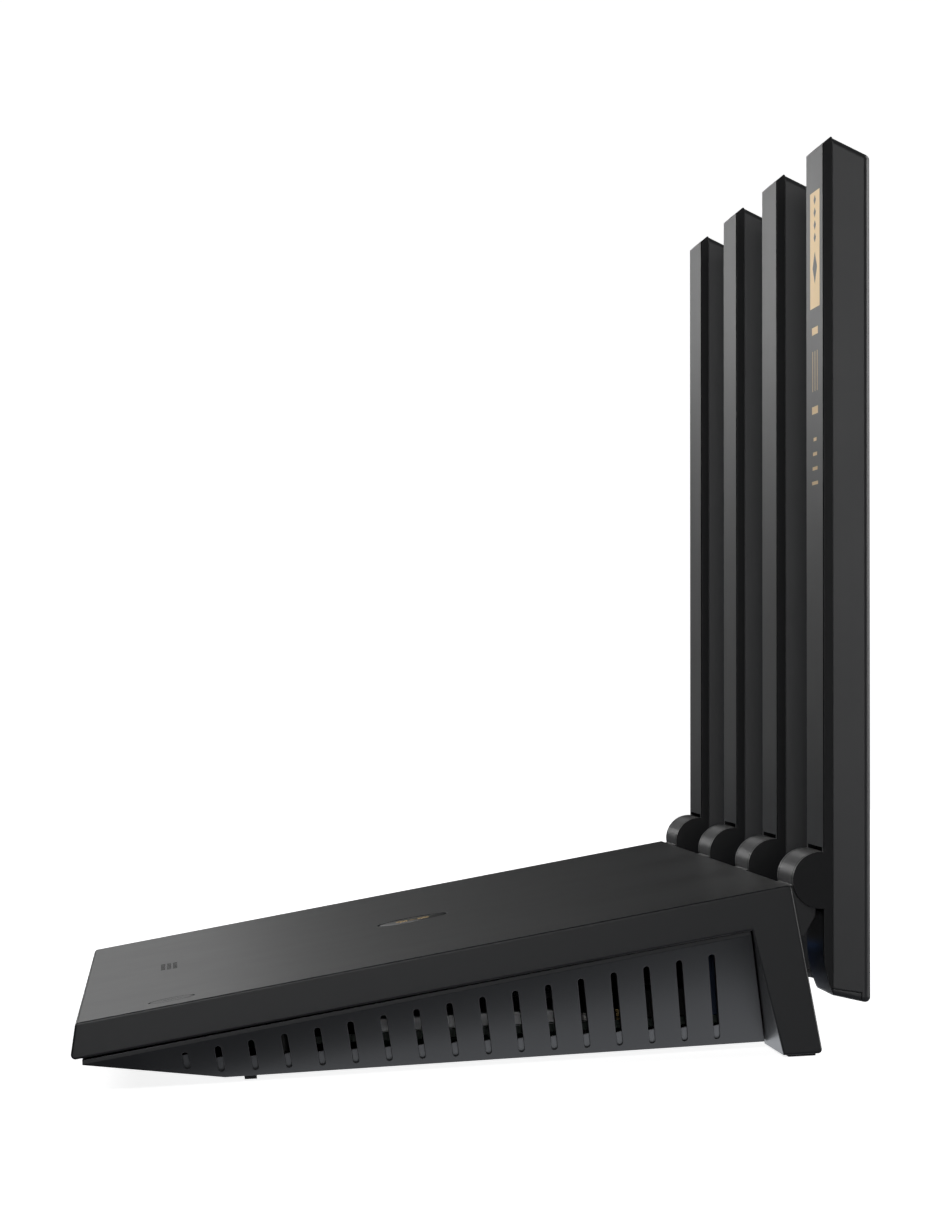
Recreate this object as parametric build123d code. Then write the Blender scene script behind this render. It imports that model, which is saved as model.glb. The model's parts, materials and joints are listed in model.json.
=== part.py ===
"""Wireless router: a wedge-shaped case on two rear legs, with four folding blade antennas.

Frame: X runs across the router, Y from front to back, Z up from the table.
Shapes are drawn with Y = 0 at the lid's front edge. At the end they are all moved
so that the origin is under the middle of the whole object, on the table.
"""
import os
from math import cos, radians, sin, tan

from build123d import *

# ---- driving dimensions (mm, degrees) -------------------------------------------------
WIDTH = 225.0            # case width, and the span over the outer antennas
LID_DEPTH = 140.3        # lid length, front edge to rear edge, measured level
LID_TILT = 7.98          # the lid rises to the rear; the rear face is square to it
LID_FRONT_Z = 14.15      # height of the lid at its front edge
BAND_HEIGHT = 7.45       # side band below the lid's edge
NOSE_REACH = 1.95        # how far the lower front edge stands ahead of the lid's edge
UNDERSIDE_Z = 1.2        # clearance under the case
LEG_BOTTOM_Z = 0.5       # leg moulding ends here, and a pad fills the rest
LEG_WIDTH = 27.0         # width of each rear leg across X
WALL = 2.2               # moulded wall

HINGE_Y = 146.4          # antenna hinge axis
HINGE_Z = 34.3
BARREL_R = 5.6
BARREL_HALF = 9.5        # half width of the fixed knuckle
ANTENNA_PITCH = 66.8
ANTENNA_LEAN = 2.7       # blades lean back this far as they stand
BLADE_FRONT = 0.4        # blade planes, measured back from the hinge axis
BLADE_SEAM = 2.3
BLADE_BACK = 9.7
FRONT_HALF = 11.3        # half width at the front face
BACK_HALF = 12.3         # half width at the back face
BLADE_TOP = 146.3        # above the hinge axis
BLADE_BOTTOM = -24.2

BOARD_Z = 5.2            # underside of the main board
BOARD_THICK = 1.6
BOARD_HALF = 85.0
BOARD_FRONT = 33.0
BOARD_BACK = 134.6

VENT_COUNT = 17
VENT_WIDTH = 1.3

GAP = 0.3                # clearance round pieces that move past each other

# ---- values worked out from them ------------------------------------------------------
SLOPE = tan(radians(LID_TILT))
HALF = WIDTH / 2
BOARD_TOP = BOARD_Z + BOARD_THICK
LIP_DROP = BAND_HEIGHT + 0.9          # the undercut wall starts this far below the lid
ANTENNA_X = [ANTENNA_PITCH * (1.5 - i) for i in range(4)]
PORT_X = {"wan_port": 76.0, "lan_port_1": 57.2, "lan_port_2": 9.4, "lan_port_3": -9.4}
DC_X, RESET_X, POWER_X = -57.2, -66.6, -76.0
BADGE_Y, BADGE_R, BADGE_THICK = 71.5, 7.8, 0.4
PAIR_X, PAIR_Y, PAIR_R = 98.4, 18.2, 4.4

BOTTOM = (Align.CENTER, Align.CENTER, Align.MIN)


def lid_z(y):
    """Height of the lid's top face."""
    return LID_FRONT_Z + SLOPE * y


LID_REAR_Z = lid_z(LID_DEPTH)


def rear_y(z):
    """Rear face of the case, square to the lid."""
    return LID_DEPTH + (LID_REAR_Z - z) * SLOPE


# ---- small helpers --------------------------------------------------------------------
def prism(points, x0, x1):
    """Outline in Y and Z, stretched from x0 to x1."""
    return extrude(Plane.YZ.offset(x0) * Polygon(*points, align=None), amount=x1 - x0, dir=(1, 0, 0))


def block(x, y, z):
    """Box from three (low, high) pairs."""
    size = Box(x[1] - x[0], y[1] - y[0], z[1] - z[0], align=(Align.MIN,) * 3)
    return Pos(x[0], y[0], z[0]) * size


def post(x, y, z0, z1, radius):
    """Upright round bar."""
    return Pos(x, y, z0) * Cylinder(radius, z1 - z0, align=BOTTOM)


def bar_x(x0, x1, y, z, radius):
    """Round bar along X."""
    return Plane((x0, y, z), x_dir=(0, 1, 0), z_dir=(1, 0, 0)) * Cylinder(radius, x1 - x0, align=BOTTOM)


def bar_y(x, y0, y1, z, radius):
    """Round bar along Y."""
    return Plane((x, y0, z), x_dir=(1, 0, 0), z_dir=(0, 1, 0)) * Cylinder(radius, y1 - y0, align=BOTTOM)


def lid_plane(x, y):
    """Plane on the lid's top face, its normal out of the lid."""
    tilt = radians(LID_TILT)
    return Plane((x, y, lid_z(y)), x_dir=(1, 0, 0), z_dir=(0, -sin(tilt), cos(tilt)))


def rear_plane(x, z):
    """Plane on the case's rear face, its normal out to the rear."""
    tilt = radians(LID_TILT)
    return Plane((x, rear_y(z), z), x_dir=(1, 0, 0), z_dir=(0, cos(tilt), sin(tilt)))


def under_lid(y0, y1, top, thick, x0, x1):
    """Slab parallel to the lid, its top face `top` below the lid's top face."""
    low = top + thick
    corners = [(y0, lid_z(y0) - low), (y1, lid_z(y1) - low),
               (y1, lid_z(y1) - top), (y0, lid_z(y0) - top)]
    return prism(corners, x0, x1)


def solids(pieces):
    """One node made of several separate solids."""
    flat = []
    for piece in pieces:
        flat.extend(piece.solids())
    return Compound(children=flat)


parts = {}

# ---- top cover: lid, side bands, nose, rear wall and legs ------------------------------
LEG_TOP_Y = 132.2                                   # inner corner of band and leg
LEG_TOP_Z = lid_z(LEG_TOP_Y) - BAND_HEIGHT
LEG_FRONT_Y = 137.2                                 # front edge of the leg at its foot
LEG_RAKE = (LEG_FRONT_Y - LEG_TOP_Y) / (LEG_TOP_Z - LEG_BOTTOM_Z)
NOSE_Z = lid_z(-NOSE_REACH) - BAND_HEIGHT + 0.4


def leg_front_y(z):
    """Front face of the legs and of the rear wall."""
    return LEG_TOP_Y + (LEG_TOP_Z - z) * LEG_RAKE


def cover_shell():
    side = [(-0.6, lid_z(-0.6)), (LID_DEPTH, LID_REAR_Z), (rear_y(LEG_BOTTOM_Z), LEG_BOTTOM_Z),
            (LEG_FRONT_Y, LEG_BOTTOM_Z), (LEG_TOP_Y, LEG_TOP_Z), (-NOSE_REACH, NOSE_Z)]
    body = prism(side, -HALF, HALF)
    across = body.edges().filter_by(Axis.X).sort_by(Axis.Y)
    body = fillet([across[0], across[1]], 0.9)
    across = body.edges().filter_by(Axis.X).sort_by(Axis.Y)
    body = fillet([across[-1], body.edges().filter_by(Axis.X).sort_by(Axis.Z)[-1]], 0.8)
    rims = [edge for face in body.faces().filter_by(Axis.X) for edge in face.edges()]
    body = fillet(rims, 0.45)
    inner = HALF - WALL
    main = [(1.0, lid_z(1.0) - WALL), (LEG_TOP_Y, lid_z(LEG_TOP_Y) - WALL), (LEG_TOP_Y, LEG_TOP_Z - 0.01),
            (leg_front_y(0), 0), (1.0, 0)]
    body -= prism(main, -inner, inner)
    return body


def hollow_rear_wall(body):
    inner = HALF - WALL
    middle = HALF - LEG_WIDTH + 1.0
    back = WALL + 0.2
    top_z = lid_z(LEG_TOP_Y) - WALL
    room = [(LEG_TOP_Y - 0.5, LEG_TOP_Z - 4.0), (LEG_TOP_Y - 0.5, top_z - 0.1),
            (rear_y(top_z) - back, lid_z(rear_y(top_z) - back) - WALL), (rear_y(4.4) - back, 4.4),
            (leg_front_y(4.4) - 0.5, 4.4)]
    body -= prism(room, -middle, middle)
    lift = [(130.0, -1.0), (150.0, -1.0), (150.0, 2.4), (130.0, 2.4)]
    body -= prism(lift, -middle + 2, middle - 2)
    pocket = [(leg_front_y(3.0) + 2.0, 3.0), (leg_front_y(25.0) + 2.0, 25.0),
              (leg_front_y(25.0) + 2.0, lid_z(leg_front_y(25.0) + 2.0) - WALL - 1.0),
              (rear_y(28.0) - back, lid_z(rear_y(28.0) - back) - WALL - 1.0), (rear_y(3.0) - back, 3.0)]
    for low, high in ((-inner, -middle - 2), (middle + 2, inner)):
        body -= prism(pocket, low, high)
    shelf_z = LEG_TOP_Z + 0.9                       # leads to the outer antennas pass above this
    over_leg = [(LEG_TOP_Y - 1.0, shelf_z), (rear_y(LEG_TOP_Z) - back, shelf_z),
                (rear_y(28.5) - back, lid_z(rear_y(28.5) - back) - WALL),
                (LEG_TOP_Y - 1.0, lid_z(LEG_TOP_Y - 1.0) - WALL)]
    for low, high in ((-inner, -middle + 0.1), (middle - 0.1, inner)):
        body -= prism(over_leg, low, high)
    return body


CASE_SCREWS = [(92.0, 40.0), (-92.0, 40.0), (43.0, 127.0), (-43.0, 127.0)]
PANEL_HALF = 85.8
PANEL_Z = (4.4, 21.8)
FLOOR_Z = UNDERSIDE_Z + 1.8
CABLE_Z = 28.0
BRACKET_SCREW = 6.3


def top_cover():
    body = hollow_rear_wall(cover_shell())
    body -= block((-PANEL_HALF, PANEL_HALF), (136.0, 150.0), PANEL_Z)
    for x, y in CASE_SCREWS:
        body += post(x, y, FLOOR_Z, lid_z(y) - 1.6, 3.0)
        body -= post(x, y, FLOOR_Z - 1, FLOOR_Z + 10.0, 1.45)
    for x in ANTENNA_X:
        body -= rear_plane(x, CABLE_Z) * Cylinder(1.0, 8.0)
        for side in (-BRACKET_SCREW, BRACKET_SCREW):
            body -= rear_plane(x + side, CABLE_Z) * Cylinder(1.3, 8.0)
    body -= lid_plane(0, BADGE_Y) * Cylinder(BADGE_R + 0.05, 2 * BADGE_THICK)
    body -= lid_plane(PAIR_X, PAIR_Y) * Cylinder(PAIR_R + 0.25, 8.0)
    return body


parts["top_cover"] = top_cover()

# ---- bottom cover: undercut sides with vent slots ---------------------------------------
TAPER_Y = 28.0                                      # the underside rises ahead of this
REVEAL = 0.8                                        # the lower body stands this far inside the band


def lower_hull(inset, top_drop, floor):
    """Lower body drawn in by `inset`, from height `floor` to `top_drop` below the lid."""
    front = 0.4 + inset
    back_low = leg_front_y(floor) - GAP - inset
    back_high_z = lid_z(LEG_TOP_Y) - top_drop
    back_high = leg_front_y(back_high_z) - GAP - inset
    rise = LID_FRONT_Z - LIP_DROP + (floor - UNDERSIDE_Z)
    side = [(front, rise), (TAPER_Y, floor), (back_low, floor),
            (back_high, lid_z(back_high) - top_drop), (front, lid_z(front) - top_drop)]
    hull = prism(side, -HALF, HALF)
    edge = HALF - REVEAL - inset * 1.41
    for sign in (1, -1):
        origin = (sign * edge, 0, LID_FRONT_Z - LIP_DROP)
        plane = Plane(origin, x_dir=(0, 1, SLOPE), z_dir=(sign, SLOPE, -1))
        hull = split(hull, bisect_by=plane, keep=Keep.BOTTOM)
        wall = Plane((sign * (HALF - REVEAL - inset), 0, 0), x_dir=(0, 1, 0), z_dir=(sign, 0, 0))
        hull = split(hull, bisect_by=wall, keep=Keep.BOTTOM)
    return hull


def vent_slots():
    """Cutters for the upright slots in the side walls, square to the lid."""
    tilt = radians(LID_TILT)
    first, last = 20.5, 125.6
    cutters = []
    for i in range(VENT_COUNT):
        share = i / (VENT_COUNT - 1)
        y = first + (last - first) * share
        top = lid_z(y) - LIP_DROP - (1.5 + share)
        low = max(UNDERSIDE_Z, UNDERSIDE_Z + (TAPER_Y - y) * 0.157) + 1.2
        middle = Plane((0, y, (top + low) / 2), x_dir=(0, -sin(tilt), cos(tilt)), z_dir=(1, 0, 0))
        slot = middle * SlotOverall(top - low, VENT_WIDTH)
        for x0 in (-HALF, HALF - 28.0):
            cutters.append(Pos(x0, 0, 0) * extrude(slot, amount=28.0, dir=(1, 0, 0)))
    return cutters


BOARD_POSTS = [(78.0, 44.0), (-78.0, 44.0), (79.0, 101.5), (-79.0, 101.5)]


def bottom_cover():
    body = lower_hull(0, LIP_DROP - 0.85, UNDERSIDE_Z)
    body -= lower_hull(1.8, 2.0, FLOOR_Z)
    body -= block((-PANEL_HALF, PANEL_HALF), (130, 142), (PANEL_Z[0], 40))
    for x, y in BOARD_POSTS:
        body += post(x, y, FLOOR_Z - 0.5, BOARD_Z, 2.6)
        body -= post(x, y, FLOOR_Z, BOARD_Z + 1, 1.05)
    for x, y in CASE_SCREWS:
        body -= post(x, y, 0, 8, 1.7)
        body -= post(x, y, 0, UNDERSIDE_Z + 0.9, 3.1)
    for cutter in vent_slots():
        body -= cutter
    for row in range(5):
        for column in range(19):
            x = -63.0 + 7.0 * column
            y = 62.0 + 11.0 * row
            body -= Pos(x, y, UNDERSIDE_Z) * extrude(SlotOverall(8.0, 1.6, rotation=90), amount=4, both=True)
    body -= block((-97, 97), (31.7, 34.5), (UNDERSIDE_Z - 1, UNDERSIDE_Z + 0.4))
    return body


parts["bottom_cover"] = bottom_cover()
parts["front_foot"] = block((-96.6, 96.6), (31.9, 34.3), (0, UNDERSIDE_Z + 0.4))


def rear_foot_pads():
    pads = []
    for sign in (1, -1):
        x = sorted((sign * (HALF - 2.0), sign * (HALF - LEG_WIDTH + 4.0)))
        pads.append(block(x, (LEG_FRONT_Y + 1.2, rear_y(LEG_BOTTOM_Z) - 1.2), (0, LEG_BOTTOM_Z)))
    return solids(pads)


parts["rear_foot_pads"] = rear_foot_pads()

# ---- rear panel and its sockets ----------------------------------------------------------
PORT_SIZE = (16.0, 18.0, 13.5)
PORT_MOUTH_Y = 141.9
POWER_Z, DC_Z, RESET_Z = 13.5, 12.0, 13.5


def rear_panel():
    low, high = PANEL_Z[0] + 0.05, PANEL_Z[1] - 0.05
    face = 0.35                                     # stands this far inside the rear wall
    side = [(rear_y(low) - face - 2.0, low), (rear_y(low) - face, low),
            (rear_y(high) - face, high), (rear_y(high) - face - 2.0, high)]
    panel = prism(side, -PANEL_HALF + 0.05, PANEL_HALF - 0.05)
    for x in PORT_X.values():
        panel -= block((x - 8.1, x + 8.1), (130, 150), (BOARD_TOP - 0.1, BOARD_TOP + PORT_SIZE[2] + 0.1))
    panel -= block((DC_X - 4.9, DC_X + 4.9), (130, 150), (DC_Z - 5.3, DC_Z + 5.7))
    panel -= bar_y(RESET_X, 130, 150, RESET_Z, 0.9)
    power = Plane((POWER_X, 130, POWER_Z), x_dir=(1, 0, 0), z_dir=(0, 1, 0)) * SlotOverall(9.6, 6.6)
    panel -= extrude(power, amount=20, dir=(0, 1, 0))
    return panel


parts["rear_panel"] = rear_panel()


def socket(x):
    """Shielded eight-way socket with its latch notch, open to the rear."""
    wide, deep, high = PORT_SIZE
    front = PORT_MOUTH_Y - deep
    shell = block((x - wide / 2, x + wide / 2), (front, PORT_MOUTH_Y), (BOARD_TOP, BOARD_TOP + high))
    shell -= block((x - 5.9, x + 5.9), (front + 3, 150), (BOARD_TOP + 4.2, BOARD_TOP + 12.0))
    shell -= block((x - 3.2, x + 3.2), (front + 3, 150), (BOARD_TOP + 1.6, BOARD_TOP + 4.3))
    return shell


def contacts(x):
    """Eight spring wires that hang from the socket's roof and slope to the rear."""
    front = PORT_MOUTH_Y - PORT_SIZE[1]
    roof = BOARD_TOP + 12.0
    wires = []
    for i in range(8):
        wire_x = x + 1.02 * (i - 3.5)
        bend = [(front + 3.0, roof - 2.0), (front + 3.0, roof - 2.35),
                (front + 12.0, roof - 0.4), (front + 12.0, roof)]
        wires.append(prism(bend, wire_x - 0.2, wire_x + 0.2))
    return wires


for port_name, port_x in PORT_X.items():
    parts[port_name] = socket(port_x)
parts["port_contacts"] = solids([wire for x in PORT_X.values() for wire in contacts(x)])

JACK_BORE = 2.85


def dc_jack():
    body = block((DC_X - 4.7, DC_X + 4.7), (128.5, 142.6), (BOARD_TOP, DC_Z + 5.5))
    return body - bar_y(DC_X, 132.5, 150, DC_Z, JACK_BORE)


parts["dc_jack"] = dc_jack()
DC_PIN = bar_y(DC_X, 132.5, 141.6, DC_Z, 1.0)
parts["dc_jack_pin"] = fillet(DC_PIN.edges().sort_by(Axis.Y)[-1], 0.45)

# ---- buttons -----------------------------------------------------------------------------
POWER_TRAVEL, RESET_TRAVEL, PAIR_TRAVEL = 1.5, 0.4, 0.4
STEM_GAP = 0.12


def power_button():
    cap_plane = Plane((POWER_X, 138.6, POWER_Z), x_dir=(1, 0, 0), z_dir=(0, 1, 0))
    cap = extrude(cap_plane * SlotOverall(9.0, 6.0), amount=5.9, dir=(0, 1, 0))
    cap = fillet(cap.edges().group_by(Axis.Y)[-1], 0.6)
    stem = block((POWER_X - 1.5, POWER_X + 1.5), (133.0, 138.7), (POWER_Z - 1.5, POWER_Z + 1.5))
    return cap + stem


def power_switch():
    body = block((POWER_X - 4.5, POWER_X + 4.5), (124.0, 136.8), (BOARD_TOP, POWER_Z + 3.5))
    reach = 1.5 + STEM_GAP
    return body - block((POWER_X - reach, POWER_X + reach), (131.3, 150), (POWER_Z - reach, POWER_Z + reach))


parts["power_button"] = power_button()
parts["power_switch"] = power_switch()
parts["reset_button"] = bar_y(RESET_X, 134.0, 138.4, RESET_Z, 0.8)
RESET_BODY = block((RESET_X - 3.0, RESET_X + 3.0), (129.5, 136.0), (BOARD_TOP, RESET_Z + 2.5))
parts["reset_switch"] = RESET_BODY - bar_y(RESET_X, 133.4, 150, RESET_Z, 0.92)

LINE = (0.55, 4.2)                                  # light line across X and along Y
PAIR_CAP = 2.4


def pair_button():
    plane = lid_plane(PAIR_X, PAIR_Y)
    cap = plane * Pos(0, 0, -PAIR_CAP) * Cylinder(PAIR_R, PAIR_CAP, align=BOTTOM)
    cap = fillet(cap.edges().filter_by(GeomType.CIRCLE).sort_by(Axis.Z)[-1], 0.15)
    stem = plane * Pos(2.8, 0, -PAIR_CAP - 1.0) * Cylinder(0.9, 1.1, align=BOTTOM)
    window = plane * Pos(0, 0, -PAIR_CAP - 1) * Box(LINE[0] + 0.04, LINE[1] + 0.04, 6, align=BOTTOM)
    return cap + stem - window


def pair_stack(lift, size):
    """Block under the pair button, `lift` below the lid's face."""
    return lid_plane(PAIR_X, PAIR_Y) * Pos(0, 0, -lift) * Box(*size, align=BOTTOM)


parts["pair_button"] = pair_button()
parts["light_line"] = pair_stack(PAIR_CAP, (LINE[0], LINE[1], PAIR_CAP - 0.03))
parts["pair_switch"] = lid_plane(PAIR_X, PAIR_Y) * Pos(2.8, 0, -6.2) * Box(3.0, 4.0, 2.2, align=BOTTOM)
parts["status_led"] = lid_plane(PAIR_X, PAIR_Y) * Pos(-0.5, 0, -6.2) * Box(1.6, 3.0, 0.9, align=BOTTOM)
parts["button_board"] = pair_stack(7.2, (14.0, 16.0, 1.0))

# ---- main board and what is on it ----------------------------------------------------------
HOLES = [(x, y, 1.2) for x, y in BOARD_POSTS] + [(x, y, 3.4) for x, y in CASE_SCREWS[2:]]


def main_board():
    board = block((-BOARD_HALF, BOARD_HALF), (BOARD_FRONT, BOARD_BACK), (BOARD_Z, BOARD_TOP))
    board = fillet(board.edges().filter_by(Axis.Z), 2.0)
    for x, y, radius in HOLES:
        board -= post(x, y, BOARD_Z - 1, BOARD_TOP + 1, radius)
    return board


def chip(x, y, wide, deep, high):
    body = block((x - wide / 2, x + wide / 2), (y - deep / 2, y + deep / 2), (BOARD_TOP, BOARD_TOP + high))
    return chamfer(body.edges().group_by(Axis.Z)[-1], 0.15)


SPREADER_Z = BOARD_TOP + 2.2
CHIPS = {"processor": (-14.0, 72.0, 17.0, 17.0, 1.4), "switch_chip": (20.0, 88.0, 14.0, 14.0, 1.2)}
MEMORY = [(-14.0, 52.0, 13.0, 9.0, 1.1), (-34.0, 72.0, 8.0, 6.0, 1.1)]
for chip_name, chip_size in CHIPS.items():
    parts[chip_name] = chip(*chip_size)
parts["main_board"] = main_board()
parts["memory_chips"] = solids([chip(*size) for size in MEMORY])


def thermal_pads():
    pads = []
    for x, y, wide, deep, high in list(CHIPS.values()) + MEMORY:
        half_x, half_y = wide / 2 - 0.5, deep / 2 - 0.5
        pads.append(block((x - half_x, x + half_x), (y - half_y, y + half_y), (BOARD_TOP + high, SPREADER_Z)))
    return solids(pads)


def heat_spreader():
    plate = block((-48, 48), (42, 102), (SPREADER_Z, SPREADER_Z + 1.5))
    for i in range(13):
        x = -45.0 + 7.5 * i
        plate += block((x - 0.5, x + 0.5), (48, 100), (SPREADER_Z + 1.4, SPREADER_Z + 6.5))
    return plate


def radio_shields():
    cans = []
    for x in (66.0, -66.0):
        can = block((x - 15, x + 15), (58, 96), (BOARD_TOP, BOARD_TOP + 3.0))
        can = fillet(can.edges().filter_by(Axis.Z) + can.edges().group_by(Axis.Z)[-1], 0.8)
        cans.append(can - block((x - 14.6, x + 14.6), (58.4, 95.6), (BOARD_TOP - 1, BOARD_TOP + 2.6)))
    return solids(cans)


parts["thermal_pads"] = thermal_pads()
parts["heat_spreader"] = heat_spreader()
parts["radio_shields"] = radio_shields()
parts["network_transformers"] = solids([chip(x, 117.5, 13.0, 9.0, 5.6) for x in PORT_X.values()])
parts["capacitors"] = solids([post(x, 117.0, BOARD_TOP, BOARD_TOP + 10.5, 4.0) for x in (-50.0, -61.0)])
parts["power_inductors"] = solids([chip(x, 103.0, 8.0, 8.0, 4.0) for x in (-53.5, -63.5)])

# ---- tap coil, badge, label -------------------------------------------------------------
COIL = under_lid(8.0, 30.0, WALL, 0.3, -16, 16)
parts["tap_coil"] = COIL - under_lid(13.0, 25.0, WALL - 0.5, 1.5, -11, 11)
BADGE = Cylinder(BADGE_R, BADGE_THICK, align=BOTTOM)
parts["badge"] = lid_plane(0, BADGE_Y) * Pos(0, 0, -BADGE_THICK) * BADGE
parts["rating_label"] = block((-35, 35), (37.5, 54.5), (UNDERSIDE_Z - 0.12, UNDERSIDE_Z))

# ---- screws -------------------------------------------------------------------------------
def upright_screw(x, y, head_z, tip_z, head_r, shank_r, head_high):
    """Screw along Z; head_z is the head's outer face."""
    up = 1 if tip_z > head_z else -1
    low, high = sorted((head_z, head_z + up * head_high))
    shank = sorted((head_z + up * head_high / 2, tip_z))
    screw = post(x, y, low, high, head_r) + post(x, y, shank[0], shank[1], shank_r)
    for angle in (0, 90):
        cross = Box(head_r * 1.2, 0.5, 1.0)
        screw -= Pos(x, y, head_z) * Rot(0, 0, angle) * cross
    return screw


def bracket_screw(x):
    plane = rear_plane(x, CABLE_Z)
    inside = -(WALL + 0.2)
    head = plane * Pos(0, 0, inside - 1.3) * Cylinder(2.1, 1.25, align=BOTTOM)
    return head + plane * Pos(0, 0, inside - 0.5) * Cylinder(1.1, 5.0, align=BOTTOM)


parts["case_screws"] = solids([upright_screw(x, y, UNDERSIDE_Z + 0.1, 11.5, 2.7, 1.35, 0.75)
                               for x, y in CASE_SCREWS])
parts["board_screws"] = solids([upright_screw(x, y, BOARD_TOP + 1.2, FLOOR_Z + 0.3, 2.3, 0.95, 1.15)
                                for x, y in BOARD_POSTS])
parts["bracket_screws"] = solids([bracket_screw(x + side) for x in ANTENNA_X
                                  for side in (-BRACKET_SCREW, BRACKET_SCREW)])

# ---- antenna brackets, hinge pins, cables -------------------------------------------------
PIN_R = 1.45
PIN_HALF = 10.4


def antenna_bracket(x):
    top_z, low_z = 33.5, 23.4
    arm = [(rear_y(top_z) + 0.02, top_z), (HINGE_Y, HINGE_Z), (HINGE_Y - 1.3, 27.2),
           (rear_y(low_z) + 1.0, low_z), (rear_y(low_z) + 0.02, low_z)]
    knuckle = bar_x(x - BARREL_HALF, x + BARREL_HALF, HINGE_Y, HINGE_Z, BARREL_R)
    knuckle = fillet(knuckle.edges().filter_by(GeomType.CIRCLE), 0.25)
    knuckle &= block((x - 20, x + 20), (rear_y(HINGE_Z) + 0.25, 160), (20, 50))
    body = prism(arm, x - BARREL_HALF, x + BARREL_HALF) + knuckle
    body -= bar_x(x - 15, x + 15, HINGE_Y, HINGE_Z, PIN_R + 0.03)
    body -= rear_plane(x, CABLE_Z) * Pos(0, 0, -1) * Cylinder(0.8, 3.6, align=BOTTOM)
    for side in (-BRACKET_SCREW, BRACKET_SCREW):
        body -= rear_plane(x + side, CABLE_Z) * Pos(0, 0, -1) * Cylinder(1.13, 3.9, align=BOTTOM)
    return body


def cable(x):
    """Coaxial lead from its board socket up and back into the antenna's bracket."""
    start_x = max(-74.0, min(74.0, x))
    start = Vector(start_x, 109.5, BOARD_TOP + 1.5)
    rise = Vector(start_x, 109.5, 23.0)
    rear = Vector(x, 127.0, CABLE_Z + 0.1)
    end = rear_plane(x, CABLE_Z).origin + rear_plane(x, CABLE_Z).z_dir * 2.4
    before = rear_plane(x, CABLE_Z).origin - rear_plane(x, CABLE_Z).z_dir * 8.0
    turn = (rise - start).get_angle(rear - rise)
    gentle = (rear - rise).get_angle(before - rear)
    last = (before - rear).get_angle(end - before)
    runs = [(rise - start).length, (rear - rise).length, (before - rear).length, (end - before).length]
    radii = []
    for i, angle in enumerate((turn, gentle, last)):
        radii.append(0.42 * min(runs[i], runs[i + 1]) / tan(radians(angle) / 2))
    path = FilletPolyline(start, rise, rear, before, end, radius=radii)
    section = Plane(start, z_dir=(0, 0, 1)) * Circle(0.6)
    return sweep(section, path=path)


CABLES = [cable(x) for x in ANTENNA_X]
SOCKETS = [chip(max(-74.0, min(74.0, x)), 109.5, 2.6, 2.6, 1.5) for x in ANTENNA_X]
for number, antenna_x in enumerate(ANTENNA_X, 1):
    parts[f"antenna_{number}_bracket"] = antenna_bracket(antenna_x)
parts["hinge_pins"] = solids([bar_x(x - PIN_HALF, x + PIN_HALF, HINGE_Y, HINGE_Z, PIN_R) for x in ANTENNA_X])
parts["antenna_cables"] = solids(CABLES)
parts["antenna_sockets"] = solids(SOCKETS)

# ---- antenna blade, drawn round its hinge axis and standing straight ----------------------
KNUCKLE_ROOM = 5.95
EAR_IN = BARREL_HALF + 0.2
TAB_OUT = 10.6
CAP_DEPTH = 7.9
BEYOND = BLADE_BACK + 3.0                           # the outline overruns the blade's back face


def blade_outline():
    """Side view of the blade: chamfered top, front face curving back at the foot."""
    foot_front = (2.4, -22.6)
    top_fall = 3.9 * (BEYOND - BLADE_SEAM) / (BLADE_BACK - BLADE_SEAM)
    path = Polyline((BLADE_FRONT, -13.0), (BLADE_FRONT, BLADE_TOP - 1.4), (BLADE_SEAM - 0.3, BLADE_TOP),
                    (BEYOND, BLADE_TOP - top_fall), (BEYOND, BLADE_BOTTOM - 0.6), foot_front)
    curve = ThreePointArc(foot_front, (0.95, -18.0), (BLADE_FRONT, -13.0))
    return make_face([path, curve])


def blade_block(y0, half0, y1, half1):
    """Upright block whose sides flare from half0 at y0 to half1 at y1, cut to the outline."""
    plan = Polygon((-half0, y0), (half0, y0), (half1, y1), (-half1, y1), align=None)
    flares = half1 > half0
    corners = plan.vertices().sort_by(Axis.Y)[2:] if flares else plan.vertices().sort_by(Axis.Y)[:2]
    plan = fillet(corners, 1.2 if flares else 0.3)
    solid = Pos(0, 0, -30) * extrude(plan, amount=190, dir=(0, 0, 1))
    return solid & extrude(Plane.YZ.offset(-20) * blade_outline(), amount=40, dir=(1, 0, 0))


def front_cover():
    body = blade_block(BLADE_FRONT, FRONT_HALF, BLADE_SEAM, FRONT_HALF)
    body -= block((-EAR_IN, EAR_IN), (-1, BLADE_SEAM + 1), (-6.3, 6.4))
    for sign in (1, -1):
        outer = sorted((sign * EAR_IN, sign * FRONT_HALF))
        tab = sorted((sign * EAR_IN, sign * TAB_OUT))
        ear = bar_x(outer[0], outer[1], 0, 0, BARREL_R) & block((-20, 20), (-10, BLADE_SEAM), (-10, 10))
        body += ear + bar_x(tab[0], tab[1], 0, 0, 4.2)
        rib = sorted((sign * (EAR_IN - 1.6), sign * (EAR_IN - 0.4)))
        body += block(rib, (BLADE_SEAM - 0.2, BLADE_SEAM + 1.6), (12.0, 135.0))
    return body - bar_x(-TAB_OUT + 0.05, TAB_OUT - 0.05, 0, 0, PIN_R + 0.05)


CAP_LINE = [(BLADE_SEAM, -21.2), (CAP_DEPTH, -22.0), (CAP_DEPTH, -30.0),
            (BLADE_SEAM - 2, -30.0), (BLADE_SEAM - 2, -21.2)]


def back_outer():
    body = blade_block(BLADE_SEAM + 0.02, FRONT_HALF, BLADE_BACK, BACK_HALF)
    for end in (-1, 0):
        face = body.faces().sort_by(Axis.Z)[end]
        body = fillet([edge for edge in face.edges() if edge.center().Y > BLADE_SEAM + 0.1], 1.0)
    return body


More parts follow.
